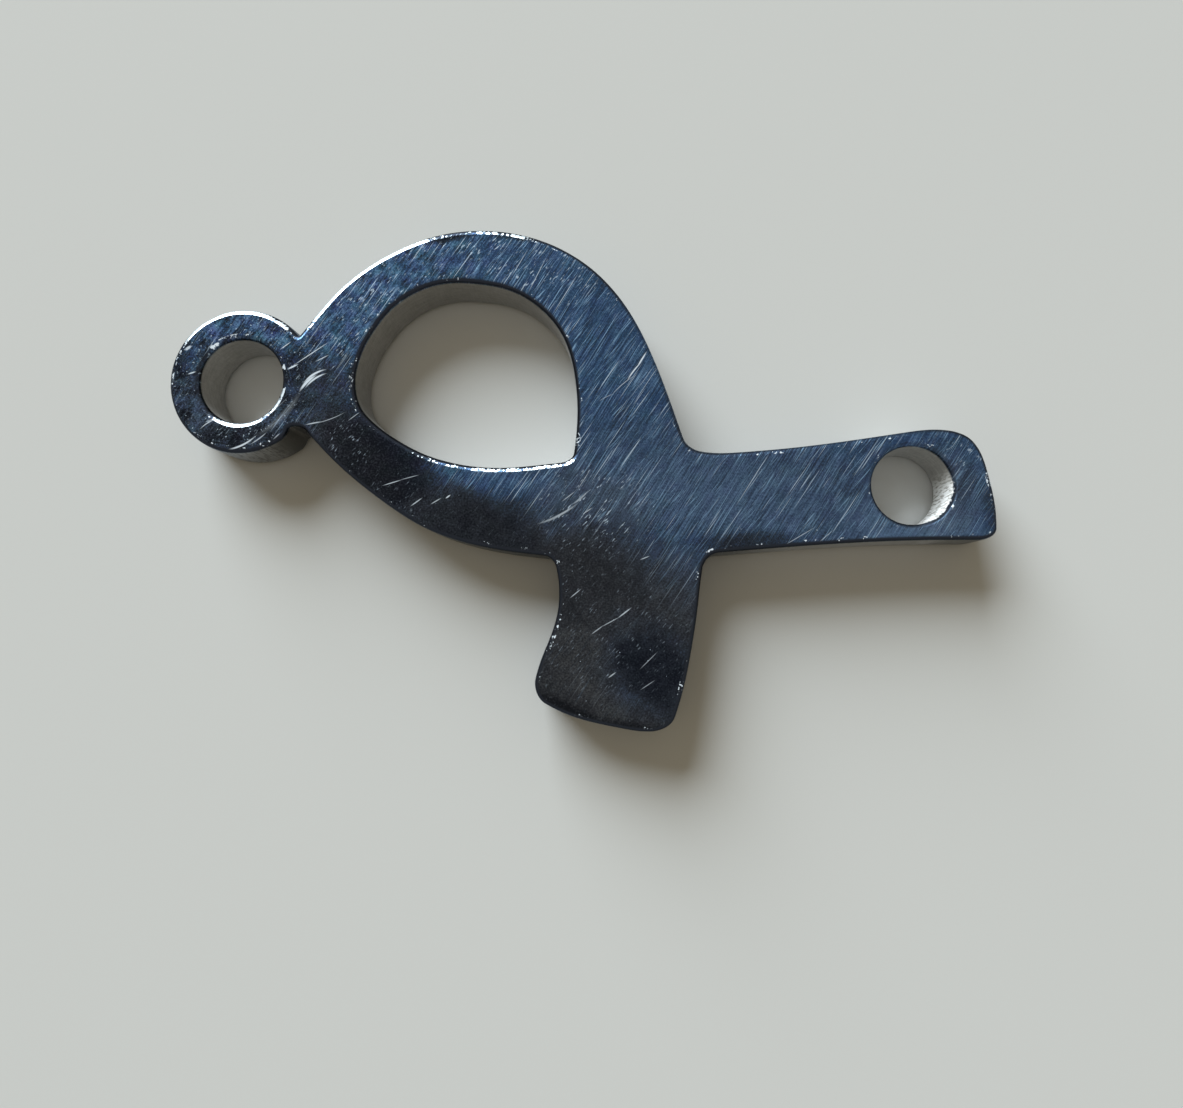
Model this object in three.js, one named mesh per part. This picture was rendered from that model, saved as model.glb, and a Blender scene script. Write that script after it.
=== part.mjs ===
// Awareness ribbon connector charm: one plate of steel, cut to its outline and tumbled smooth.
// Lengths are in millimetres. The plate lies on its back face, with +Z out of its front.
// +X runs from the eye's hole to the long tail's hole, and the loop's crown is on the +Y side.
// Until the last step, places are measured from the middle of the eye's hole.

import * as THREE from 'three';

// Sheet
const PLATE_THICKNESS = 1.5;
const EDGE_ROUNDING = 0.13;

// Eye and holes
const EYE_DIAMETER = 3.74;
const EYE_HOLE_DIAMETER = 2.15;
const HOLE_SPACING = 16.92;
const TAIL_HOLE_DIAMETER = 1.9;

// Loop, from the eye's hole to the notch over the crossing, and from the line between the holes
// up to its crown and down to the outer edge of its lower arm. The notch beside the eye is on the
// eye's edge, this many degrees round it from the line between the holes.
const LOOP_LENGTH = 11.68;
const CROWN_HEIGHT = 4.85;
const LOWER_ARM_DEPTH = 3.18;
const NOTCH_ANGLE = 49;

// Loop's opening, from the widths of the metal round it
const BRIDGE_WIDTH = 1.815;
const CROWN_WIDTH = 1.45;
const LOWER_ARM_WIDTH = 1.96;
const OPENING_LENGTH = 5.8;

// Long tail, from its hole's middle to its end, its upper edge and its lower edge
const LONG_TAIL_END = 2.13;
const LONG_TAIL_TOP = 1.49;
const LONG_TAIL_FOOT = 1.09;

// Short tail: its narrowest width, how far its outer side stands past the notch over the crossing,
// and how far it hangs below the lower arm
const SHORT_TAIL_WIDTH = 3.37;
const SHORT_TAIL_REACH = 0.65;
const SHORT_TAIL_LENGTH = 3.77;

// How finely curves are drawn
const TURN_PER_STEP = 7;
const LEAST_STEPS = 4;
const CIRCLE_STEPS = 48;
const ROUNDING_STEPS = 2;

const { degToRad, euclideanModulo } = THREE.MathUtils;
const polar = (radius, angle) =>
  new THREE.Vector2(radius * Math.cos(degToRad(angle)), radius * Math.sin(degToRad(angle)));

// An outline is a list of points, each with the heading in degrees of the edge that passes it:
// 0 is along +X and 90 along +Y. The outer outline runs with the metal on its left.
const at = (x, y, heading) => ({ place: new THREE.Vector2(x, y), heading });

// The stretch between two points leaves and arrives in their headings, and is a round arc where
// both turn alike. A cubic curve does that with handles of a third of the chord, or a little more in a bend.
function stretch(from, to) {
  const turn = euclideanModulo(to.heading - from.heading + 180, 360) - 180;
  const reach = from.place.distanceTo(to.place) / (3 * Math.cos(degToRad(turn / 4)) ** 2);
  const leaving = polar(reach, from.heading).add(from.place);
  const arriving = polar(-reach, to.heading).add(to.place);
  const steps = Math.max(LEAST_STEPS, Math.ceil(Math.abs(turn) / TURN_PER_STEP));
  return new THREE.CubicBezierCurve(from.place, leaving, arriving, to.place).getPoints(steps).slice(1);
}

const closedOutline = (points) => points.flatMap((point, i) => stretch(points.at(i - 1), point));

function circle(x, y, diameter) {
  return new THREE.EllipseCurve(x, y, diameter / 2, diameter / 2).getPoints(CIRCLE_STEPS).slice(1);
}

// Eye's edge, from the notch under the crown's end, round the far side and into the neck of the lower arm
function eyeEdge() {
  const radius = EYE_DIAMETER / 2;
  const round = [NOTCH_ANGLE, 120, 190, 260, 315].map((angle) => {
    const place = polar(radius, angle);
    return at(place.x, place.y, angle + 90);
  });
  const neck = (along, down, heading) => at(along * radius, -down * radius, heading);
  return [...round, neck(0.774, 0.556, 80), neck(0.825, 0.505, 8), neck(0.931, 0.495, -8), neck(1.068, 0.583, -41)];
}

// Lower arm's outer edge, from its neck to the inner corner of the short tail
function lowerArmEdge() {
  const arm = (along, down, heading) => at(along * LOOP_LENGTH, -down * LOWER_ARM_DEPTH, heading);
  return [
    arm(0.405, 0.858, -24.5),
    arm(0.619, 1, 0),
    arm(0.719, 0.986, 3),
  ];
}

// Short tail's edge, down its inner side, round its end and up to the inner corner of the long tail
function shortTailEdge() {
  const tail = (across, down, heading) => at(
    LOOP_LENGTH + SHORT_TAIL_REACH - (1 - across) * SHORT_TAIL_WIDTH,
    -LOWER_ARM_DEPTH - down * SHORT_TAIL_LENGTH,
    heading,
  );
  return [
    tail(-0.065, 0.053, -66),
    tail(0, 0.35, -90),
    tail(-0.08, 0.78, -90),
    tail(0.022, 0.93, -24),
    tail(0.6, 1, -1),
    tail(0.807, 0.987, 14),
    tail(0.961, 0.867, 79),
    tail(1, 0.27, 90),
    tail(0.985, -0.095, 90),
    tail(1.083, -0.216, 14),
  ];
}

// Long tail's edge, along its lower side, round its end and back to the notch over the crossing
function longTailEdge() {
  const foot = (along, down, heading) => at(HOLE_SPACING + along * LONG_TAIL_END, -down * LONG_TAIL_FOOT, heading);
  const top = (along, up, heading) => at(HOLE_SPACING + along * LONG_TAIL_END, up * LONG_TAIL_TOP, heading);
  const crossing = (along, up, heading) => at(along * LOOP_LENGTH, up * CROWN_HEIGHT, heading);
  return [
    foot(0.8, 0.981, 8),
    foot(1, 0.65, 95),
    top(0.791, 0.497, 113),
    top(0.611, 0.876, 140),
    top(0.341, 1, 178),
    top(-0.194, 0.841, 198),
    crossing(1.0815, 0.031, 192),
    crossing(1.0086, 0.009, 177),
  ];
}

// Loop's upper edge, from the notch over the crossing, over the crown and down to the notch beside the eye
function crownEdge() {
  const crown = (along, up, heading) => at(along * LOOP_LENGTH, up * CROWN_HEIGHT, heading);
  const notch = polar(EYE_DIAMETER / 2, NOTCH_ANGLE);
  const shoulder = (along, up, heading) =>
    at(notch.x + along * (LOOP_LENGTH - notch.x), notch.y + up * (CROWN_HEIGHT - notch.y), heading);
  return [
    crown(0.968, 0.064, 118),
    crown(0.891, 0.402, 120.5),
    crown(0.736, 0.842, 146),
    crown(0.525, 1, 180),
    shoulder(0.2547, 0.8436, 209),
    shoulder(0.0994, 0.467, 229),
    shoulder(0.0045, 0, 240),
  ];
}

// Loop's opening, from its left end along the lower arm, up the crossing and back under the crown
function openingEdge() {
  const start = EYE_HOLE_DIAMETER / 2 + BRIDGE_WIDTH;
  const low = (along, down, heading) =>
    at(start + along * OPENING_LENGTH, -down * (LOWER_ARM_DEPTH - LOWER_ARM_WIDTH), heading);
  const high = (along, up, heading) =>
    at(start + along * OPENING_LENGTH, up * (CROWN_HEIGHT - CROWN_WIDTH), heading);
  return [
    high(0, 0.226, -90),
    low(0.081, 0.303, -38),
    low(0.3, 0.82, -20),
    low(0.571, 1, 0),
    low(0.948, 0.64, 15),
    low(1, 0.4, 91),
    high(0.966, 0.311, 105),
    high(0.82, 0.792, 138),
    high(0.524, 1, 180),
    high(0.234, 0.909, 211),
    high(0.071, 0.63, 242),
  ];
}

// The whole charm: the sheet's thickness, with every edge rounded inward from the outline
function ribbonPlate() {
  const outline = [eyeEdge(), lowerArmEdge(), shortTailEdge(), longTailEdge(), crownEdge()].flat();
  const shape = new THREE.Shape(closedOutline(outline));
  shape.holes = [
    new THREE.Path(circle(0, 0, EYE_HOLE_DIAMETER)),
    new THREE.Path(closedOutline(openingEdge())),
    new THREE.Path(circle(HOLE_SPACING, 0, TAIL_HOLE_DIAMETER)),
  ];
  const geometry = new THREE.ExtrudeGeometry(shape, {
    depth: PLATE_THICKNESS - 2 * EDGE_ROUNDING,
    bevelThickness: EDGE_ROUNDING,
    bevelSize: EDGE_ROUNDING,
    bevelOffset: -EDGE_ROUNDING,
    bevelSegments: ROUNDING_STEPS,
  });
  const steel = new THREE.MeshStandardMaterial({ color: 0x39465c, roughness: 0.28, metalness: 1 });
  const mesh = new THREE.Mesh(geometry, steel);
  mesh.name = 'ribbon_plate';
  return mesh;
}

// The origin goes under the middle of the plate's box
const charm = new THREE.Group();
const plate = ribbonPlate();
plate.geometry.computeBoundingBox();
const middle = plate.geometry.boundingBox.getCenter(new THREE.Vector3());
plate.position.set(-middle.x, -middle.y, EDGE_ROUNDING);
charm.add(plate);

export default charm;
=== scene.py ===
"""Awareness ribbon connector charm: the steel plate's surface and finish, and the stage it lies on."""

import math
from functools import reduce

import bmesh
import bpy
from bpy.props import (
    FloatProperty,
    FloatVectorProperty,
    IntProperty,
    PointerProperty,
)
from mathutils import Matrix, Vector, noise


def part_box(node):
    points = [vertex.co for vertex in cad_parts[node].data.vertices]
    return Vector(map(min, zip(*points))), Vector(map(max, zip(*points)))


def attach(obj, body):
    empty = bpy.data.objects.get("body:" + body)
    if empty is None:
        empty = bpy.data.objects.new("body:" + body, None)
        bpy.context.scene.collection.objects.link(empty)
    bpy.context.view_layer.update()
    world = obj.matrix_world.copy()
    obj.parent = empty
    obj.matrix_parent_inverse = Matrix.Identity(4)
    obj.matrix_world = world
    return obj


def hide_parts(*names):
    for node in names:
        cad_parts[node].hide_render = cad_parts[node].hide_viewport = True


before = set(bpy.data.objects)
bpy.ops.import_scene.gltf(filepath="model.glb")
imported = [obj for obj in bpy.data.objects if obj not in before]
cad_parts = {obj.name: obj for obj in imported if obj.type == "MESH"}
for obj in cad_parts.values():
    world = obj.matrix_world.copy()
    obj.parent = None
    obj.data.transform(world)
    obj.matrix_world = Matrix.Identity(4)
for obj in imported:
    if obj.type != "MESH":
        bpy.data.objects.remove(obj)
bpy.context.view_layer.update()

bl_info = {
    "name": "Ribbon Connector Charm",
    "version": (1, 0, 0),
    "blender": (4, 5, 0),
    "location": "View3D > Sidebar > Charm",
    "description": "Finishes a steel ribbon connector charm and sets its stage",
    "category": "Add Mesh",
}

MM = 0.001
NODE = "ribbon_plate"
BOTTOM, TOP = (corner.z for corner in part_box(NODE))
THICKNESS = TOP - BOTTOM

# Width of the camera's sensor, in mm
SENSOR_WIDTH = 36


# Sizes and colours a user would change


class PlateSettings(bpy.types.PropertyGroup):
    """How finely the plate's edges are rounded, and how worn they are."""

    rounding: FloatProperty(
        name="Edge rounding", description="Radius of the solid's edges, which places their dents and nicks",
        default=0.13 * MM, unit="LENGTH", precision=5,
    )
    margin: FloatProperty(
        name="Face margin", description="Strip of the flat face that blends into the rounding",
        default=0.035 * MM, unit="LENGTH", precision=5,
    )
    wall_cuts: IntProperty(
        name="Wall cuts", description="Cuts across the height of the cut wall", default=3, min=1, max=6,
    )
    levels: IntProperty(
        name="Smoothing", description="Levels of subdivision on the edges and walls", default=2, min=1, max=3,
    )
    nick_depth: FloatProperty(
        name="Nick depth", description="Depth of the dents along the rounded edges",
        default=0.012 * MM, unit="LENGTH", precision=6,
    )
    nick_size: FloatProperty(
        name="Nick size", description="Distance from one dent to the next",
        default=0.22 * MM, unit="LENGTH", precision=5,
    )


class SteelSettings(bpy.types.PropertyGroup):
    """Colours and gloss of the steel. The face colours and the dark of the rounded edges are painted
    reflections.
    """

    # The face colours from here to the palest dull face are painted reflections of dark surroundings and of
    # the sky
    dark: FloatVectorProperty(
        name="Darkest face", description="Face where it mirrors the dark", subtype="COLOR",
        default=(0.007, 0.009, 0.014), min=0, max=1,
    )
    grey: FloatVectorProperty(
        name="Grey face", description="Face between dark and blue", subtype="COLOR",
        default=(0.020, 0.026, 0.036), min=0, max=1,
    )
    blue: FloatVectorProperty(
        name="Blue face", description="Face where it mirrors the sky", subtype="COLOR",
        default=(0.026, 0.056, 0.116), min=0, max=1,
    )
    pale: FloatVectorProperty(
        name="Palest face", description="Face at its brightest", subtype="COLOR",
        default=(0.085, 0.160, 0.275), min=0, max=1,
    )
    dull_dark: FloatVectorProperty(
        name="Darkest dull face", description="Face without blue where it mirrors the dark", subtype="COLOR",
        default=(0.009, 0.010, 0.012), min=0, max=1,
    )
    dull: FloatVectorProperty(
        name="Dull face", description="Face without blue", subtype="COLOR",
        default=(0.025, 0.027, 0.030), min=0, max=1,
    )
    dull_pale: FloatVectorProperty(
        name="Palest dull face", description="Face without blue at its brightest", subtype="COLOR",
        default=(0.12, 0.13, 0.13), min=0, max=1,
    )
    line: FloatVectorProperty(
        name="Brushed line", description="Fresh metal in a brushed line", subtype="COLOR",
        default=(0.20, 0.33, 0.46), min=0, max=1,
    )
    fleck: FloatVectorProperty(
        name="Fleck", description="Small bright marks on the faces", subtype="COLOR",
        default=(0.50, 0.62, 0.72), min=0, max=1,
    )
    # Scratches take this colour, and so do the nicks and painted highlights of the rounded edges
    scratch: FloatVectorProperty(
        name="Scratch", description="Fresh metal in a scratch", subtype="COLOR",
        default=(0.80, 0.91, 0.98), min=0, max=1,
    )
    # The rounded edges' dark colour is a painted reflection of shade
    edge: FloatVectorProperty(
        name="Rounded edge", description="Metal of the rounded edges", subtype="COLOR",
        default=(0.022, 0.025, 0.032), min=0, max=1,
    )
    wall: FloatVectorProperty(
        name="Cut wall", description="Satin metal of the cut walls", subtype="COLOR",
        default=(0.72, 0.71, 0.68), min=0, max=1,
    )
    # The coarse wall's colour is torn metal and a painted highlight
    coarse_wall_highlight: FloatVectorProperty(
        name="Coarse wall", description="Bright metal of a coarse wall", subtype="COLOR",
        default=(0.95, 0.97, 0.98), min=0, max=1,
    )
    glint: FloatVectorProperty(
        name="Glint", description="Tint of what the steel mirrors at a low angle", subtype="COLOR",
        default=(0.60, 0.64, 0.70), min=0, max=1,
    )
    face_roughness: FloatProperty(
        name="Face roughness", description="Roughness of the polished faces", default=0.22, min=0, max=1,
    )
    wall_roughness: FloatProperty(
        name="Wall roughness", description="Roughness of the cut walls", default=0.42, min=0, max=1,
    )
    brushing: FloatProperty(
        name="Brushing direction", description="Direction of the brushed lines",
        default=math.radians(68), subtype="ANGLE",
    )
    relief: FloatProperty(
        name="Relief", description="Height of the grain on the faces and walls",
        default=0.0022 * MM, unit="LENGTH", precision=6,
    )


class StageSettings(bpy.types.PropertyGroup):
    """Floor, light and camera."""

    floor: FloatVectorProperty(
        name="Floor", description="Colour of the floor", subtype="COLOR",
        default=(0.60, 0.615, 0.618), min=0, max=1,
    )
    floor_roughness: FloatProperty(
        name="Floor roughness", description="Roughness of the floor", default=0.9, min=0, max=1,
    )
    floor_shine: FloatProperty(
        name="Floor shine", description="Specular level of the floor", default=0.2, min=0, max=1,
    )
    floor_radius: FloatProperty(
        name="Floor radius", description="How far the floor reaches", default=0.6, unit="LENGTH",
    )
    floor_drop: FloatProperty(
        name="Floor drop", description="Gap between the plate's back and the floor",
        default=0.01 * MM, unit="LENGTH", precision=5,
    )
    backdrop: FloatVectorProperty(
        name="Backdrop", description="What the camera and the steel see past the floor", subtype="COLOR",
        default=(0.8, 0.8, 0.8), min=0, max=1,
    )
    key: FloatProperty(
        name="Key light", description="Strength of the soft light from the upper left", default=5.1, min=0,
    )
    key_colour: FloatVectorProperty(
        name="Key colour", description="Colour of the key light", subtype="COLOR",
        default=(0.90, 0.97, 1.0), min=0, max=1,
    )
    key_heading: FloatProperty(
        name="Key heading", description="Where the key light comes from, round the plate",
        default=math.radians(127), subtype="ANGLE",
    )
    key_height: FloatProperty(
        name="Key height", description="Angle of the key light over the floor",
        default=math.radians(27), subtype="ANGLE",
    )
    key_softness: FloatProperty(
        name="Key softness", description="Width of the key light as the plate sees it",
        default=math.radians(42), subtype="ANGLE",
    )
    fill: FloatProperty(
        name="Fill light", description="Strength of the light from all round", default=0.28, min=0,
    )
    fill_colour: FloatVectorProperty(
        name="Fill colour", description="Colour of the fill light", subtype="COLOR",
        default=(1.0, 0.86, 0.62), min=0, max=1,
    )
    camera_place: FloatVectorProperty(
        name="Camera", description="Where the camera stands", subtype="TRANSLATION",
        default=(2.268 * MM, -3.264 * MM, 21.72 * MM),
    )
    camera_aim: FloatVectorProperty(
        name="Aim", description="Point of the front face in the middle of the picture", subtype="TRANSLATION",
        default=(0.963 * MM, -1.858 * MM, TOP),
    )
    camera_up: FloatProperty(
        name="Up", description="Direction across the plate that is up in the picture",
        default=math.radians(99.582), subtype="ANGLE",
    )
    focal_length: FloatProperty(
        name="Focal length", description=f"Focal length in millimetres on a {SENSOR_WIDTH} mm wide sensor",
        default=25.349, min=1,
    )


# Material nodes


class Wire:
    """One output in a tree of nodes. Arithmetic on it adds the Math nodes for it."""

    def __init__(self, socket):
        self.socket = socket

    def node(self, kind, settings=None, inputs=None, output=0):
        """Adds a node of a kind, with its settings and then the value or Wire of each input that is named."""
        added = self.socket.id_data.nodes.new(kind)
        for name, value in (settings or {}).items():
            if name == "stops":
                set_stops(added.color_ramp, value)
            else:
                setattr(added, name, value)
        for name, value in (inputs or {}).items():
            if isinstance(value, Wire):
                value.into(added.inputs[name])
            else:
                added.inputs[name].default_value = value
        return Wire(added.outputs[output])

    def into(self, socket):
        """Links this output to an input."""
        self.socket.id_data.links.new(self.socket, socket)

    def beside(self, output):
        """Another output of the same node."""
        return Wire(self.socket.node.outputs[output])

    def maths(self, operation, first, second=0.0, clamp=False):
        settings = {"operation": operation, "use_clamp": clamp}
        return self.node("ShaderNodeMath", settings, {0: first, 1: second})

    def __add__(self, other):
        return self.maths("ADD", self, other)

    __radd__ = __add__

    def __sub__(self, other):
        return self.maths("SUBTRACT", self, other)

    def __rsub__(self, other):
        return self.maths("SUBTRACT", other, self)

    def __mul__(self, other):
        return self.maths("MULTIPLY", self, other)

    __rmul__ = __mul__

    def clamped(self):
        """No less than 0 and no more than 1."""
        return self.maths("ADD", self, 0.0, clamp=True)

    def most(self, other):
        """The larger of two."""
        return self.maths("MAXIMUM", self, other)

    def away_from(self, middle):
        """How far it is from a number, to either side."""
        return self.maths("ABSOLUTE", self - middle)

    def between(self, low, high):
        """0 up to low, 1 from high, and smooth between them."""
        settings = {"interpolation_type": "SMOOTHSTEP"}
        return self.node("ShaderNodeMapRange", settings, {"Value": self, "From Min": low, "From Max": high})

    def placed(self, place, degrees, size):
        """A vector measured from a place, along a direction, in a size of its own for each axis."""
        inputs = {
            "Vector": self,
            "Location": (*place, 0),
            "Rotation": (0, 0, math.radians(degrees)),
            "Scale": (*size, 1)[:3],
        }
        return self.node("ShaderNodeMapping", {"vector_type": "TEXTURE"}, inputs)

    def shifted(self, amounts):
        """A vector moved along each axis that is named, by an amount that may vary."""
        shift = self.node("ShaderNodeCombineXYZ", inputs=amounts)
        return self.node("ShaderNodeVectorMath", {"operation": "ADD"}, {0: self, 1: shift})

    def axis(self, name):
        """One axis of a vector: X, Y or Z."""
        return self.node("ShaderNodeSeparateXYZ", inputs={0: self}, output=name)


def set_stops(ramp, stops):
    """Sets a colour ramp from (position, colour) pairs."""
    for number, (position, colour) in enumerate(stops):
        stop = ramp.elements[number] if number < 2 else ramp.elements.new(position)
        stop.position = position
        stop.color = (*colour, 1)


def dimmed(colour, share):
    """A colour brought down to a share of itself."""
    return tuple(share * part for part in colour)


def mix_colours(mask, low, high):
    """A colour that goes from low to high as the mask goes from 0 to 1."""
    low, high = (colour if isinstance(colour, Wire) else (*colour, 1) for colour in (low, high))
    # The node has sockets for each data type, and those for colours go by these numbers
    return mask.node("ShaderNodeMix", {"data_type": "RGBA"}, {0: mask, 6: low, 7: high}, output=2)


def cloud(place, size, detail, shift):
    """Soft noise with patches of about this size. Each shift gives patches of its own."""
    moved = place.placed((shift, shift / 2), 0, (1, 1))
    return moved.node("ShaderNodeTexNoise", inputs={"Vector": moved, "Scale": 1 / size, "Detail": detail})


def drawn_out(place, degrees, length, width, shift, detail=1):
    """Noise drawn out along a direction, in patches of about this length and width."""
    lined = place.placed((shift, -shift), degrees, (length, width))
    inputs = {"Vector": lined, "Scale": 1.0, "Detail": detail}
    return lined.node("ShaderNodeTexNoise", {"noise_dimensions": "2D"}, inputs)


def grains(place, size, detail):
    """Noise in grains of about this size along each axis."""
    stretched = place.placed((0, 0), 0, size)
    inputs = {"Vector": stretched, "Scale": 1.0, "Detail": detail}
    return stretched.node("ShaderNodeTexNoise", inputs=inputs)


def ball(local):
    """1 at the origin of a vector, falling to 0 at a distance of 1 from it."""
    return local.node("ShaderNodeTexGradient", {"gradient_type": "SPHERICAL"}, {"Vector": local}, output=1)


def spot(place, middle, size, degrees):
    """1 in the middle of an ellipse, falling to 0 at its edge. Its size is its half length and half width."""
    return ball(place.placed(middle, degrees, size))


# The steel

# Shade of the plain face's painted reflection, from 0 to 1, and the shades between which brushed lines come
# out
FACE_SHADE = 0.622
LIT_SHADES = (0.20, 0.60)

# The shades drift from their patches by this much times a soft noise, along X and Y in mm
PATCH_DRIFT = (1.1, -0.9)

# Places along X, in mm, between which the marks of the loop's left end and those of the eye fade out
LEFT_FADES = (-5.0, -1.0)
EYE_FADES = (-7.6, -6.4)

# Directions of the soft streaks and of the small dashes on the face, in degrees
STREAK_DIRECTION = 60
FLECK_DIRECTION = 57

# Tones at which the face is plain grey and plain blue. It is darkest at 0 and palest at 1
GREY_TONE = 0.28
BLUE_TONE = 0.62

# Shares of a patch's and of a scratch's half width over which it rises from nothing to its full amount
PATCH_RISE = 0.7
SCRATCH_RISE = 0.6

# Depths under the nearer face, in mm, between which one finish gives way to the next.
# From the flat face to the bright nicks, and from it to the dark of the rounded edge
NICK_DEPTHS = (0.0003, 0.003)
EDGE_DEPTHS = (0.001, 0.030)

# Down the foot of the rounded edge, and into the cut wall where it starts lowest and where it starts highest
FOOT_DEPTHS = (0.08, 0.15)
LOW_WALL_DEPTHS = (0.10, 0.19)
HIGH_WALL_DEPTHS = (0.01, 0.03)

# Patches are given by their middle, half length and half width in mm, direction in degrees and amount.
# Where the face mirrors something dark, and how dark it gets there
DARK_PATCHES = [
    ((-4.7, -0.5), (2.8, 1.6), -32, 0.56),
    ((-1.9, -1.7), (3.0, 1.4), -8, 0.46),
    ((0.8, -2.8), (3.6, 2.6), 0, 0.38),
    ((2.2, -5.2), (5.6, 5.0), 0, 0.36),
    ((2.9, -4.4), (1.9, 1.4), -30, 0.54),
    ((-9.95, 0.5), (1.5, 2.2), 0, 0.26),
    ((-8.3, -0.6), (2.3, 1.2), 0, 0.36),
    ((-7.2, 1.2), (1.1, 1.5), 0, 0.36),
    ((-6.2, 1.0), (1.3, 1.7), 0, 0.24),
]

# Where painted shade makes the face dark just beside its edge
DARK_BORDERS = [
    ((-3.9, 5.70), (1.2, 0.40), 22, 0.60),
    ((-2.2, 5.92), (1.8, 0.32), 0, 0.60),
    ((1.0, -5.75), (1.6, 0.35), -14, 0.30),
    ((2.6, -6.00), (1.6, 0.40), 0, 0.30),
    ((10.3, 0.7), (0.4, 1.4), 8, 0.20),
    ((4.7, -0.95), (1.5, 0.42), 13, 0.36),
]

# Where the face's painted reflection is lighter
LIGHT_PATCHES = [
    ((3.8, 0.1), (3.6, 1.4), 0, 0.11),
    ((8.6, 0.1), (2.8, 1.0), 0, 0.15),
    ((-1.7, -0.4), (2.2, 0.6), 0, 0.10),
    ((-5.4, 3.3), (1.8, 1.2), 45, 0.06),
    ((1.0, -4.3), (1.2, 1.3), 0, 0.09),
    ((1.9, -5.2), (1.6, 0.6), -12, 0.12),
    ((1.6, -3.3), (1.2, 0.8), 0, 0.05),
    ((8.3, -0.12), (1.5, 0.5), 10, 0.26),
]

# Where the face's painted reflection has less blue in it, and where a dark place is still blue
GREY_PATCHES = [
    ((2.2, -5.0), (5.4, 4.8), 0, 1.0),
    ((0.6, -2.9), (3.6, 2.6), 0, 0.90),
    ((-2.4, -1.7), (3.0, 1.3), -10, 0.65),
    ((-5.3, -0.5), (2.6, 1.3), -36, 0.70),
    ((-8.6, 0.3), (2.4, 2.2), 0, 0.45),
    ((5.0, 0.2), (8.5, 2.4), 0, 0.22),
    ((0.9, -0.8), (2.4, 1.8), 0, 0.42),
    ((-6.4, 1.0), (1.2, 1.4), 0, 0.35),
    ((8.8, 0.9), (1.9, 1.7), 0, 0.40),
]
NAVY_PATCHES = [
    ((2.9, -4.4), (1.9, 1.5), -30, 0.80),
]

# Where the rounded edges are worn bright, and where painted highlights lie on them
WORN_AND_HIGHLIT_EDGES = [
    ((-9.60, 2.35), (1.1, 0.6), 42, 1.1),
    ((-8.90, 2.85), (1.3, 0.6), 0, 1.1),
    ((-7.90, 2.75), (0.8, 0.5), -30, 0.60),
    ((-5.95, 4.20), (3.2, 0.7), 45, 1.1),
    ((-8.35, 0.00), (0.9, 0.3), 8, 0.9),
    ((-7.70, 0.45), (0.6, 0.25), 50, 0.8),
    ((-9.40, 1.83), (0.22, 0.10), 42, 0.8),
    ((-7.40, 0.93), (0.25, 0.16), 30, 1.0),
    ((-7.46, 1.58), (0.25, 0.12), 20, 0.9),
    ((-10.35, 1.2), (0.3, 0.9), 0, 0.45),
    ((-5.45, 2.35), (0.8, 0.25), 70, 0.8),
    ((-5.60, 1.20), (0.9, 0.25), 100, 0.4),
    ((-4.30, 0.50), (2.2, 0.3), -35, 0.42),
    ((-1.60, -0.12), (1.7, 0.3), 3, 0.46),
    ((-0.20, 0.20), (0.8, 0.3), 20, 0.54),
    ((0.05, 0.85), (0.7, 0.25), 92, 0.60),
    ((10.25, 1.50), (0.9, 0.35), 100, 0.50),
    ((0.35, -3.0), (0.5, 2.0), 0, 0.15),
    ((-2.40, 5.85), (2.2, 0.3), 0, 0.45),
]

# Where small bright dashes crowd on the face. They are partly marks and partly painted glints
FLECKED_PATCHES = [
    ((-5.0, 3.3), (3.4, 3.2), 0, 0.9),
    ((-2.0, 5.2), (4.2, 1.3), -8, 0.9),
    ((0.9, -0.7), (2.0, 1.6), 0, 0.9),
    ((1.6, -3.4), (2.6, 2.8), 0, 0.25),
    ((9.3, 1.9), (1.3, 0.6), 0, 0.8),
    ((-8.6, 1.05), (2.6, 2.6), 0, 0.5),
    ((-5.6, -0.1), (1.1, 0.7), -32, 0.6),
    ((-4.2, -1.0), (1.3, 0.6), -28, 0.35),
]

# Edges as light as the face beside them, taking its painted reflection instead of the painted dark of the
# other edges
SOFT_EDGES = [
    ((-8.59, 1.05), (1.9, 1.9), 0, 1.0),
    ((8.20, 1.25), (1.6, 1.6), 0, 1.0),
    ((2.20, 3.50), (3.2, 1.3), -58, 1.0),
    ((5.90, 2.10), (4.2, 1.0), 14, 1.0),
]

# Walls that are satin. The other walls are glossier, and painted shade darkens them
SATIN_UNSHADED_WALLS = [
    ((-8.59, 1.05), (2.2, 2.2), 0, 1.0),
    ((8.33, 1.05), (2.0, 2.0), 0, 1.0),
    ((-2.6, 2.1), (5.4, 4.1), 0, 1.0),
    ((6.5, -0.3), (5.0, 1.6), 0, 0.7),
]

# Where the cut wall is coarse, and painted bright as a highlight
COARSE_HIGHLIT_WALL = [
    ((9.20, 0.75), (1.2, 0.6), 68, 1.0),
    ((-7.90, -0.75), (1.5, 0.5), 4, 0.25),
]

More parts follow.
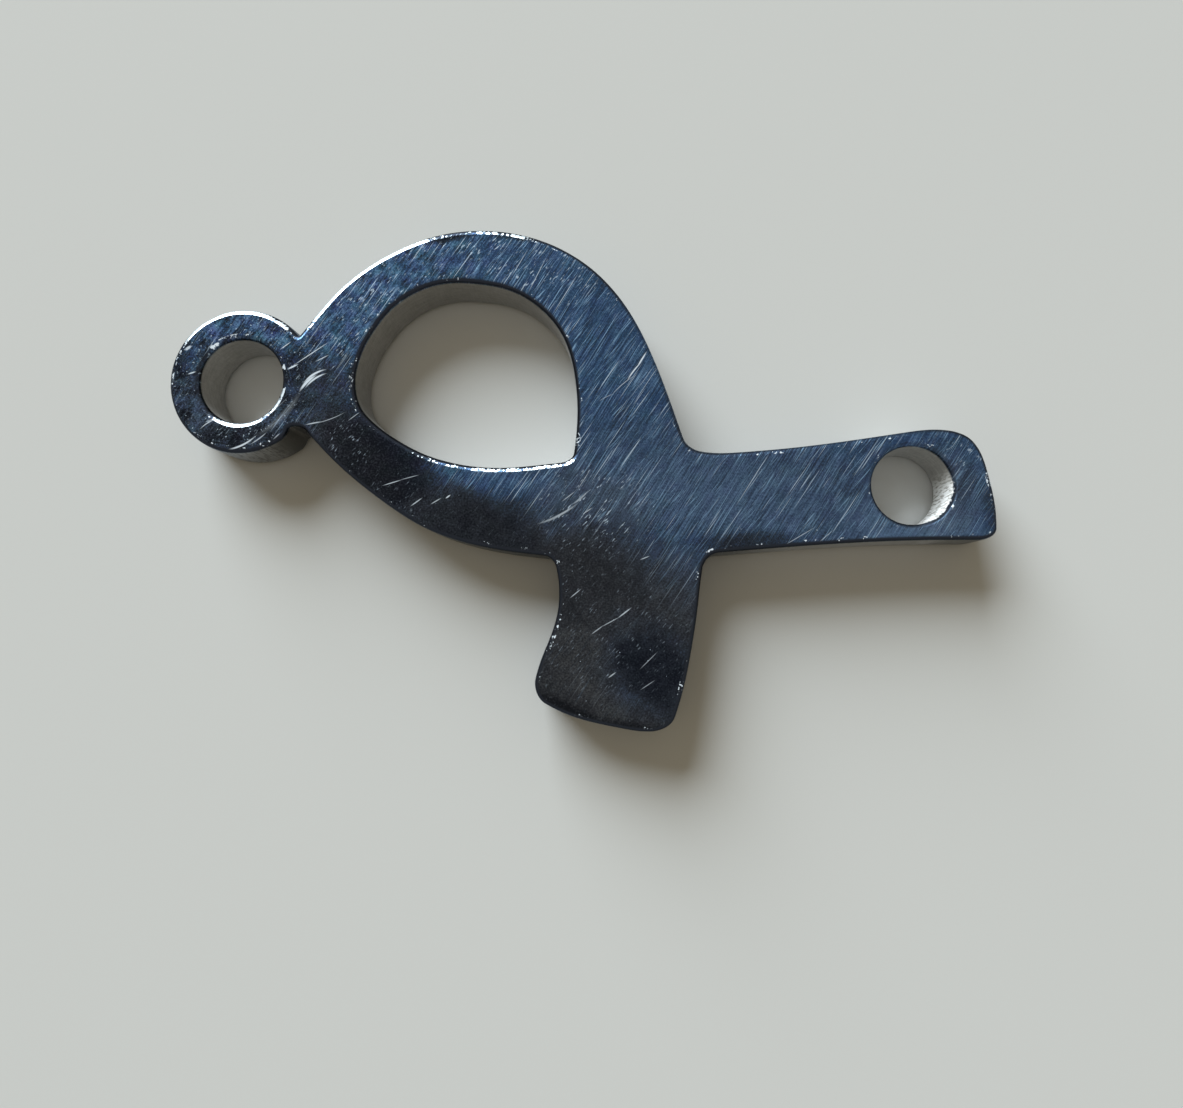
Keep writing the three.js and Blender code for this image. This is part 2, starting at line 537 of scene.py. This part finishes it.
# Scratches of the front face: middle, length and width in mm, direction in degrees, how far its ends
# bend to the right as a share of its length, and brightness
SCRATCHES = [
    ((-8.20, -0.58), 1.00, 0.060, 34, -0.10, 0.95),
    ((-7.80, -0.35), 0.60, 0.040, 46, -0.04, 0.6),
    ((-7.33, 0.30), 1.80, 0.220, 55, -0.08, 0.10),
    ((-7.33, 0.30), 1.60, 0.035, 55, -0.08, 0.25),
    ((-7.56, 0.44), 1.10, 0.030, 48, -0.04, 0.25),
    ((-7.37, -0.22), 0.30, 0.035, 51, 0.0, 0.7),
    ((-6.86, 1.27), 0.70, 0.095, 54, 0.08, 1.0),
    ((-6.74, 1.48), 0.80, 0.070, 42, 0.11, 1.0),
    ((-6.68, 1.38), 0.75, 0.060, 44, 0.10, 1.0),
    ((-6.91, 1.99), 1.25, 0.032, 43, 0.0, 0.8),
    ((-6.79, 2.10), 0.90, 0.026, 42, 0.0, 0.6),
    ((-7.30, 1.60), 0.36, 0.055, 34, 0.0, 1.0),
    ((-6.59, 1.93), 0.45, 0.032, 36, 0.0, 0.7),
    ((-7.59, 2.11), 0.40, 0.035, 45, 0.0, 0.8),
    ((-9.17, -0.14), 0.65, 0.035, 40, 0.08, 0.8),
    ((-9.13, -0.07), 0.35, 0.030, 31, 0.0, 0.6),
    ((-9.86, 1.05), 0.26, 0.045, 27, 0.0, 0.9),
    ((-10.09, 1.67), 0.24, 0.100, 43, 0.0, 0.8),
    ((-6.49, 0.26), 0.50, 0.040, 20, 0.0, 0.7),
    ((-6.10, 0.42), 1.00, 0.028, 29, -0.05, 0.5),
    ((-5.50, 0.59), 0.45, 0.028, 46, 0.0, 0.5),
    ((-4.23, -0.91), 0.60, 0.032, 26, 0.0, 0.7),
    ((-3.82, -0.71), 0.60, 0.028, 24, 0.0, 0.5),
    ((-3.54, -1.29), 0.42, 0.038, 45, 0.0, 0.7),
    ((-3.06, -1.19), 0.36, 0.036, 40, 0.0, 0.6),
    ((-2.78, -1.03), 0.18, 0.045, 46, 0.0, 0.9),
    ((0.67, 2.04), 0.50, 0.025, 36, 0.05, 0.35),
    ((1.02, 2.42), 0.90, 0.028, 50, 0.05, 0.5),
    ((1.24, 2.80), 0.70, 0.044, 62, 0.04, 1.0),
    ((1.39, 3.11), 0.55, 0.052, 68, 0.0, 1.0),
    ((0.02, -1.05), 1.30, 0.075, 37, -0.06, 0.40),
    ((0.10, -0.98), 0.70, 0.035, 40, -0.03, 0.60),
    ((0.47, -0.55), 0.60, 0.060, 50, -0.04, 0.40),
    ((0.17, -0.55), 0.50, 0.030, 47, 0.0, 0.50),
    ((0.47, -0.09), 0.70, 0.028, 67, 0.0, 0.4),
    ((0.69, -0.83), 0.35, 0.036, 43, 0.0, 0.5),
    ((0.74, -2.87), 0.42, 0.032, 49, 0.0, 0.6),
    ((1.41, -3.65), 0.45, 0.036, 46, 0.0, 0.5),
    ((1.69, -3.41), 0.60, 0.032, 38, 0.0, 0.5),
    ((1.99, -3.14), 0.50, 0.040, 47, 0.0, 0.7),
    ((2.75, -4.17), 0.70, 0.028, 54, 0.0, 0.4),
    ((1.94, -4.66), 0.28, 0.040, 46, 0.0, 0.6),
    ((2.82, -4.75), 0.50, 0.028, 43, 0.0, 0.4),
    ((2.26, -1.74), 0.30, 0.032, 31, 0.0, 0.6),
    ((5.84, -0.63), 1.10, 0.024, 40, 0.0, 0.5),
    ((6.46, -0.53), 0.60, 0.024, 50, 0.0, 0.45),
    ((-1.56, 4.84), 1.20, 0.026, 73, 0.0, 0.5),
    ((-0.77, 4.48), 1.40, 0.026, 68, 0.0, 0.55),
    ((-2.05, 5.10), 1.00, 0.026, 69, 0.0, 0.45),
    ((4.52, 0.55), 1.80, 0.026, 67, 0.0, 0.4),
]


def scratch(flat, middle, length, width, degrees, bend):
    """1 along the middle of a scratch that thins out to its ends."""
    local = flat.placed(middle, degrees, (length / 2, width / 2))
    if bend:
        along = local.axis("X")
        local = local.shifted({"Y": along * along * (2 * bend * length / width)})
    return ball(local).between(0.0, SCRATCH_RISE)


def scratches(flat):
    """All the scratches of the front face."""
    return reduce(Wire.most, (scratch(flat, *form) * brightness for *form, brightness in SCRATCHES))


def strongest(flat, patches):
    """The strongest of a list of patches at each place. A patch is level in its middle and soft round it."""
    return reduce(Wire.most, (
        amount * spot(flat, middle, size, degrees).between(0.0, PATCH_RISE)
        for middle, size, degrees, amount in patches
    ))


def brushed_lines(flat, degrees):
    """The brushed lines, in bundles of long and of short ones, and the few bright ones among them."""
    bundles = cloud(flat, size=0.7, detail=1, shift=31).between(0.40, 0.62)
    long_lines = drawn_out(flat, degrees, length=2.6, width=0.027, shift=11).between(0.63, 0.74)
    short_lines = drawn_out(flat, degrees - 9, length=0.8, width=0.025, shift=23).between(0.64, 0.75)
    bright_lines = drawn_out(flat, degrees - 3, length=1.8, width=0.033, shift=37).between(0.71, 0.78)
    return (long_lines * bundles).most(short_lines * (1 - bundles)), bright_lines


def flecks(flat, eye):
    """Small bright marks, partly painted glints: dashes crowd in some patches and dots on the eye, and specks
    are few everywhere.
    """
    crowded = strongest(flat, FLECKED_PATCHES)
    gathered = cloud(flat, size=0.35, detail=2, shift=57).between(0.44, 0.62)
    dashes = drawn_out(flat, FLECK_DIRECTION, length=0.17, width=0.042, shift=5)
    dashes = (dashes + 0.04 * crowded).between(0.66, 0.78) * gathered * (0.06 + 0.75 * crowded)
    dots = cloud(flat, size=0.075, detail=1, shift=9).between(0.66, 0.74) * (0.03 + 0.6 * eye)
    specks = cloud(flat, size=0.070, detail=1, shift=27).between(0.785, 0.83) * 0.7
    return dashes.most(dots).most(specks)


def face_colour(flat, settings):
    """Colour of the polished faces before their scratches, a painted reflection, how brushed they are, and
    their relief.
    """
    # The shade and its mix of blue and grey are a painted reflection of dark surroundings and of the sky
    drift = cloud(flat, size=0.8, detail=3, shift=71) - 0.5
    drifted = flat.shifted({"X": PATCH_DRIFT[0] * drift, "Y": PATCH_DRIFT[1] * drift})
    shade = FACE_SHADE - strongest(drifted, DARK_PATCHES) + strongest(drifted, LIGHT_PATCHES)
    shade = shade - strongest(flat, DARK_BORDERS)
    dullness = (strongest(drifted, GREY_PATCHES) - strongest(drifted, NAVY_PATCHES)).clamped()
    lit = shade.between(*LIT_SHADES)
    brushable = lit * (1 - 0.7 * dullness)
    across = flat.axis("X")
    left = 1 - across.between(*LEFT_FADES)
    eye = 1 - across.between(*EYE_FADES)

    # Soft wisps, streaks and a sparkle all over, and the grain of the brushing on the right
    degrees = math.degrees(settings.brushing)
    wisps = cloud(flat, size=0.38, detail=4, shift=61) - 0.5
    wisps = wisps * (0.35 + 0.6 * left * lit + 0.9 * eye)
    streaks = drawn_out(flat, STREAK_DIRECTION, length=0.30, width=0.080, shift=7, detail=3) - 0.5
    streaks = streaks * (0.25 + 0.9 * left * lit + 0.3 * eye)
    sparkle = cloud(flat, size=0.045, detail=1, shift=17) - 0.5
    sparkle = sparkle * (0.65 + 0.40 * left + 0.3 * eye)
    grain = drawn_out(flat, degrees, length=1.4, width=0.026, shift=3) - 0.5
    grain = grain * (1 - 0.6 * left) * brushable
    tone = (shade + wisps + streaks + sparkle + 0.9 * grain).clamped()
    blues = [(0, settings.dark), (GREY_TONE, settings.grey), (BLUE_TONE, settings.blue), (1, settings.pale)]
    greys = [(0, settings.dull_dark), (GREY_TONE, settings.dull), (1, settings.dull_pale)]
    blue = tone.node("ShaderNodeValToRGB", {"stops": blues}, {"Fac": tone})
    grey = tone.node("ShaderNodeValToRGB", {"stops": greys}, {"Fac": tone})
    colour = mix_colours(dullness, blue, grey)
    hue = 0.5 + (cloud(flat, size=0.40, detail=3, shift=91) - 0.5) * (0.05 + 0.08 * left)
    colour = colour.node("ShaderNodeHueSaturation", inputs={"Hue": hue, "Color": colour})

    # Brushed lines and small marks, partly painted glints, lie over it
    lines, bright_lines = brushed_lines(flat, degrees)
    lines = lines * brushable * (1 - 0.4 * left)
    colour = mix_colours(lines * 0.8, colour, settings.line)
    colour = mix_colours(bright_lines * brushable * 0.72, colour, settings.fleck)
    colour = mix_colours(flecks(flat, eye), colour, settings.fleck)
    return colour, lines, wisps + streaks + 0.8 * grain + 0.5 * sparkle


def wall_finish(place, satin_unshaded, coarse_highlit, settings):
    """Colour, roughness, metal and relief of the cut walls, which have a fine grain across and along them."""
    layers = grains(place, size=(0.30, 0.30, 0.06), detail=3)
    tears = grains(place, size=(0.045, 0.045, 0.30), detail=2)
    pits = cloud(place, size=0.045, detail=2, shift=13)

    # Darker in the hollows of the grain, darker still with painted shade where the wall isn't satin, and
    # brighter where it is coarse
    shade = (layers + 0.6 * pits + 0.6 * tears - 0.6).clamped()
    colour = mix_colours(shade, dimmed(settings.wall, 0.5), settings.wall)
    colour = mix_colours(satin_unshaded, dimmed(settings.wall, 0.18), colour)
    # The coarse wall's bright colour between its tears is partly a painted highlight
    colour = mix_colours(coarse_highlit * tears.between(0.35, 0.55), colour, settings.coarse_wall_highlight)

    # Satin and coarse walls scatter light, so they are less metallic than polished ones
    roughness = settings.wall_roughness - 0.12 * (1 - satin_unshaded) + 0.2 * (pits - 0.5) + 0.35 * coarse_highlit
    metal = 1 - 0.4 * satin_unshaded - 0.45 * coarse_highlit
    relief = (1.4 * layers + 1.6 * pits + 1.2 * tears) * (0.3 + 0.7 * satin_unshaded)
    return colour, roughness, metal, relief


def steel(settings, rounding):
    """Stainless steel: polished faces with brushed lines and scratches, rounded edges and satin walls.
    Painted reflection gives the faces and edges their dark and blue, and painted shade and highlights fall on
    some walls and edges.

    The rounding is the radius of the edges in mm.
    """
    material = bpy.data.materials.new("charm_steel")
    material.use_nodes = True
    shader = material.node_tree.nodes["Principled BSDF"]
    seen = Wire(shader.outputs["BSDF"]).node("ShaderNodeTexCoord", output="Object")
    place = seen.node("ShaderNodeVectorMath", {"operation": "SCALE"}, {0: seen, "Scale": 1 / MM})
    flat = place.node("ShaderNodeVectorMath", {"operation": "MULTIPLY"}, {0: place, 1: (1, 1, 0)})

    # Where on the plate: its front, its rounded edges and its walls, by height and depth in mm
    middle, half = (TOP + BOTTOM) / 2 / MM, THICKNESS / 2 / MM
    height = place.axis("Z")
    depth = half - height.away_from(middle)
    front = height.between(middle, middle + half / 2)
    satin_unshaded, coarse_highlit = strongest(flat, SATIN_UNSHADED_WALLS), strongest(flat, COARSE_HIGHLIT_WALL)
    nicks = cloud(place, size=0.07, detail=2, shift=3)

    # The wall starts high along the back where it is satin, and high and ragged where it is coarse
    reach = (0.55 * coarse_highlit + 1.2 * coarse_highlit * (nicks - 0.5)).most(satin_unshaded * (1 - front))
    starts, ends = (low - (low - high) * reach for low, high in zip(LOW_WALL_DEPTHS, HIGH_WALL_DEPTHS))
    wall = depth.between(starts, ends)

    above_foot = 1 - depth.between(*FOOT_DEPTHS)
    edge = above_foot * depth.between(*EDGE_DEPTHS)
    nicked = above_foot * depth.between(*NICK_DEPTHS) * front

    face, lines, face_relief = face_colour(flat, settings)
    face = mix_colours(scratches(flat) * front * 0.85, face, settings.scratch)
    wall_colour, wall_roughness, wall_metal, wall_relief = wall_finish(place, satin_unshaded, coarse_highlit, settings)

    # Rounded edges are painted dark as a reflection of shade. Bright nicks gather in clusters near the face
    # and join up where the edge is worn, and where painted highlights lie on it
    rounded = mix_colours(0.8 * strongest(flat, SOFT_EDGES), settings.edge, face)
    clusters = cloud(place, size=0.40, detail=1, shift=33)
    worn_and_highlit = 1.3 * strongest(flat, WORN_AND_HIGHLIT_EDGES) + 2.4 * (nicks - 0.5) + 1.6 * (clusters - 0.54)
    worn_and_highlit = worn_and_highlit - (0.9 / rounding) * depth
    colour = mix_colours(edge, face, rounded)
    # Nicks and the painted highlights of the edges take the scratches' colour
    colour = mix_colours(nicked * worn_and_highlit.between(0.3, 0.6), colour, settings.scratch)
    colour = mix_colours(wall, colour, wall_colour)

    gloss = settings.face_roughness + 0.10 * lines + (0.08 + 0.6 * coarse_highlit) * edge
    roughness = gloss * (1 - wall) + wall * wall_roughness
    metal = 1 - wall * (1 - wall_metal)
    relief = (1 - wall) * (face_relief + 0.3 * (nicks - 0.5)) + wall * wall_relief
    uneven = {"Strength": 1.0, "Distance": settings.relief, "Height": relief}
    bump = relief.node("ShaderNodeBump", inputs=uneven)

    shader.inputs["Specular Tint"].default_value = (*settings.glint, 1)
    colour.into(shader.inputs["Base Color"])
    roughness.into(shader.inputs["Roughness"])
    metal.into(shader.inputs["Metallic"])
    bump.into(shader.inputs["Normal"])
    return material


# The plate

# Corners nearer to each other than this are one corner
SAME_CORNER = 0.0001 * MM

# An open edge this near to a face's height is its rim
SAME_HEIGHT = 0.01 * MM

# A face whose normal has at least this much Z in it is flat
FLAT = 0.9999

# Dents are deepest at this share of the rounding under the face, and start where the noise passes this much
DENT_PLACE = 0.4
DENT_START = 0.1


def open_rim(net, level):
    """The open edges round the flat face at a height."""
    return [edge for edge in net.edges if edge.is_boundary and abs(edge.verts[0].co.z - level) < SAME_HEIGHT]


def rise(edge):
    """How far an edge climbs."""
    return abs(edge.verts[0].co.z - edge.verts[1].co.z)


def add_margin(net, width):
    """Adds a flat strip along both open rims, from the rounded edges into the faces."""
    for level in (TOP, BOTTOM):
        net.normal_update()
        rim = open_rim(net, level)
        inward = {vert.co.to_tuple(8): -vert.normal.xy.normalized() for edge in rim for vert in edge.verts}
        added = bmesh.ops.extrude_edge_only(net, edges=rim)
        for vert in added["geom"]:
            if isinstance(vert, bmesh.types.BMVert):
                vert.co.xy += inward[vert.co.to_tuple(8)] * width


def edge_strips(settings):
    """The solid's walls and rounded edges, with a narrow margin of each flat face, as a net of quads."""
    net = bmesh.new()
    net.from_mesh(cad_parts[NODE].data)
    bmesh.ops.remove_doubles(net, verts=net.verts, dist=SAME_CORNER)
    flats = [face for face in net.faces if abs(face.normal.z) > FLAT]
    bmesh.ops.delete(net, geom=flats, context="FACES")
    bmesh.ops.join_triangles(
        net, faces=net.faces, angle_face_threshold=math.pi, angle_shape_threshold=math.pi,
    )
    add_margin(net, settings.margin)
    upright = [edge for edge in net.edges if rise(edge) > THICKNESS / 2]
    bmesh.ops.subdivide_edges(net, edges=upright, cuts=settings.wall_cuts, use_grid_fill=True)
    return net


def smoothed(net, levels):
    """The same net, subdivided into a smooth surface."""
    mesh = bpy.data.meshes.new("strips")
    net.to_mesh(mesh)
    net.free()
    holder = bpy.data.objects.new("strips", mesh)
    bpy.context.scene.collection.objects.link(holder)
    smoothing = holder.modifiers.new("Smooth", "SUBSURF")
    smoothing.levels = smoothing.render_levels = levels
    bpy.context.view_layer.update()
    evaluated = holder.evaluated_get(bpy.context.evaluated_depsgraph_get())
    fine = bmesh.new()
    fine.from_mesh(evaluated.to_mesh())
    evaluated.to_mesh_clear()
    bpy.data.objects.remove(holder)
    bpy.data.meshes.remove(mesh)
    return fine


def close_faces(net):
    """Fills the flat front and back between the rims."""
    rims = [open_rim(net, level) for level in (TOP, BOTTOM)]
    # The fill drops edges as short as these, so it works a thousand times larger
    bmesh.ops.scale(net, verts=net.verts, vec=(1 / MM,) * 3)
    for rim in rims:
        bmesh.ops.triangle_fill(net, use_beauty=True, edges=rim, normal=(0, 0, 1))
    bmesh.ops.scale(net, verts=net.verts, vec=(MM,) * 3)
    bmesh.ops.recalc_face_normals(net, faces=net.faces)


def wear_edges(net, settings):
    """Dents the rounded edges a little, always into the metal."""
    net.normal_update()
    middle = (TOP + BOTTOM) / 2
    deepest = DENT_PLACE * settings.rounding
    for vert in net.verts:
        depth = THICKNESS / 2 - abs(vert.co.z - middle)
        amount = max(0, 1 - abs(depth - deepest) / deepest)
        dent = max(0, noise.noise(vert.co / settings.nick_size) - DENT_START)
        vert.co -= vert.normal * (amount * dent * settings.nick_depth)


class CHARM_OT_plate(bpy.types.Operator):
    """Make the steel plate with its rounded, worn edges and its finish"""

    bl_idname = "charm.plate"
    bl_label = "Steel plate"

    def execute(self, context):
        settings = context.scene.charm_plate
        net = smoothed(edge_strips(settings), settings.levels)
        add_margin(net, settings.margin / 2)
        close_faces(net)
        wear_edges(net, settings)
        if any(edge.is_boundary for edge in net.edges):
            raise RuntimeError("the plate's surface isn't closed")
        mesh = bpy.data.meshes.new("steel_plate")
        net.to_mesh(mesh)
        net.free()
        mesh.shade_smooth()
        mesh.materials.append(steel(context.scene.charm_steel, settings.rounding / MM))
        plate = bpy.data.objects.new("steel_plate", mesh)
        context.scene.collection.objects.link(plate)
        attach(plate, "root")
        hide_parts(NODE)
        return {"FINISHED"}


# The stage

FLOOR_SIDES = 96

# Nearest and farthest that the camera sees, in metres
CAMERA_REACH = (1 * MM, 10)


def floor_finish(settings):
    """Plain pale floor."""
    material = bpy.data.materials.new("floor")
    material.use_nodes = True
    shader = material.node_tree.nodes["Principled BSDF"]
    shader.inputs["Base Color"].default_value = (*settings.floor, 1)
    shader.inputs["Roughness"].default_value = settings.floor_roughness
    shader.inputs["Specular IOR Level"].default_value = settings.floor_shine
    return material


def floor_disc(settings):
    """Wide round floor just under the plate."""
    net = bmesh.new()
    bmesh.ops.create_circle(net, cap_ends=True, segments=FLOOR_SIDES, radius=settings.floor_radius)
    bmesh.ops.translate(net, verts=net.verts, vec=(0, 0, BOTTOM - settings.floor_drop))
    mesh = bpy.data.meshes.new("floor")
    net.to_mesh(mesh)
    net.free()
    mesh.materials.append(floor_finish(settings))
    return bpy.data.objects.new("floor", mesh)


def surroundings(settings):
    """Even light from all round, and a pale backdrop where the camera or the steel looks past the floor."""
    world = bpy.data.worlds.new("surroundings")
    world.use_nodes = True
    nodes = world.node_tree.nodes
    nodes["Background"].inputs["Color"].default_value = (*settings.fill_colour, 1)
    nodes["Background"].inputs["Strength"].default_value = settings.fill
    fill = Wire(nodes["Background"].outputs[0])
    backdrop = fill.node("ShaderNodeBackground", inputs={"Color": (*settings.backdrop, 1), "Strength": 1.0})
    ray = fill.node("ShaderNodeLightPath", output="Is Camera Ray")
    seen = (ray + ray.beside("Is Glossy Ray") + ray.beside("Is Transmission Ray")).clamped()
    light = fill.node("ShaderNodeMixShader", inputs={0: seen, 1: fill, 2: backdrop})
    light.into(nodes["World Output"].inputs["Surface"])
    return world


def key_light(settings):
    """One soft light from the upper left."""
    lamp = bpy.data.lights.new("key", "SUN")
    lamp.energy = settings.key
    lamp.color = settings.key_colour
    lamp.angle = settings.key_softness
    towards = Vector((
        math.cos(settings.key_heading) * math.cos(settings.key_height),
        math.sin(settings.key_heading) * math.cos(settings.key_height),
        math.sin(settings.key_height),
    ))
    key = bpy.data.objects.new("key", lamp)
    key.rotation_euler = towards.to_track_quat("Z", "Y").to_euler()
    return key


def photo_camera(settings):
    """Camera at the photograph's angle, close over the plate."""
    lens = bpy.data.cameras.new("camera")
    lens.sensor_fit = "HORIZONTAL"
    lens.sensor_width = SENSOR_WIDTH
    lens.lens = settings.focal_length
    lens.clip_start, lens.clip_end = CAMERA_REACH
    place, aim = Vector(settings.camera_place), Vector(settings.camera_aim)
    back = (place - aim).normalized()
    up = Vector((math.cos(settings.camera_up), math.sin(settings.camera_up), 0))
    right = up.cross(back).normalized()
    turn = Matrix((right, back.cross(right), back)).transposed()
    camera = bpy.data.objects.new("camera", lens)
    camera.matrix_world = Matrix.Translation(place) @ turn.to_4x4()
    return camera


class CHARM_OT_stage(bpy.types.Operator):
    """Set the floor, the light and the camera"""

    bl_idname = "charm.stage"
    bl_label = "Floor, light and camera"

    def execute(self, context):
        scene, settings = context.scene, context.scene.charm_stage
        floor = floor_disc(settings)
        scene.collection.objects.link(floor)
        scene.world = surroundings(settings)
        scene.collection.objects.link(key_light(settings))
        scene.camera = photo_camera(settings)
        scene.collection.objects.link(scene.camera)
        scene.view_settings.view_transform = "Standard"
        return {"FINISHED"}


# The panel and the add-on


class CHARM_PT_tools(bpy.types.Panel):
    """Lists the charm's pieces and its stage"""

    bl_idname = "CHARM_PT_tools"
    bl_label = "Ribbon connector charm"
    bl_space_type = "VIEW_3D"
    bl_region_type = "UI"
    bl_category = "Charm"

    def draw(self, context):
        scene = context.scene
        for operator, groups in (
            (CHARM_OT_plate, (scene.charm_plate, scene.charm_steel)),
            (CHARM_OT_stage, (scene.charm_stage,)),
        ):
            box = self.layout.box()
            box.operator(operator.bl_idname)
            for group in groups:
                for name in group.__annotations__:
                    box.prop(group, name)


CLASSES = (PlateSettings, SteelSettings, StageSettings, CHARM_OT_plate, CHARM_OT_stage, CHARM_PT_tools)


def register():
    for item in CLASSES:
        bpy.utils.register_class(item)
    bpy.types.Scene.charm_plate = PointerProperty(type=PlateSettings)
    bpy.types.Scene.charm_steel = PointerProperty(type=SteelSettings)
    bpy.types.Scene.charm_stage = PointerProperty(type=StageSettings)


def unregister():
    del bpy.types.Scene.charm_plate, bpy.types.Scene.charm_steel, bpy.types.Scene.charm_stage
    for item in reversed(CLASSES):
        bpy.utils.unregister_class(item)


def main():
    register()
    bpy.ops.charm.plate()
    bpy.ops.charm.stage()


if __name__ == "__main__":
    main()
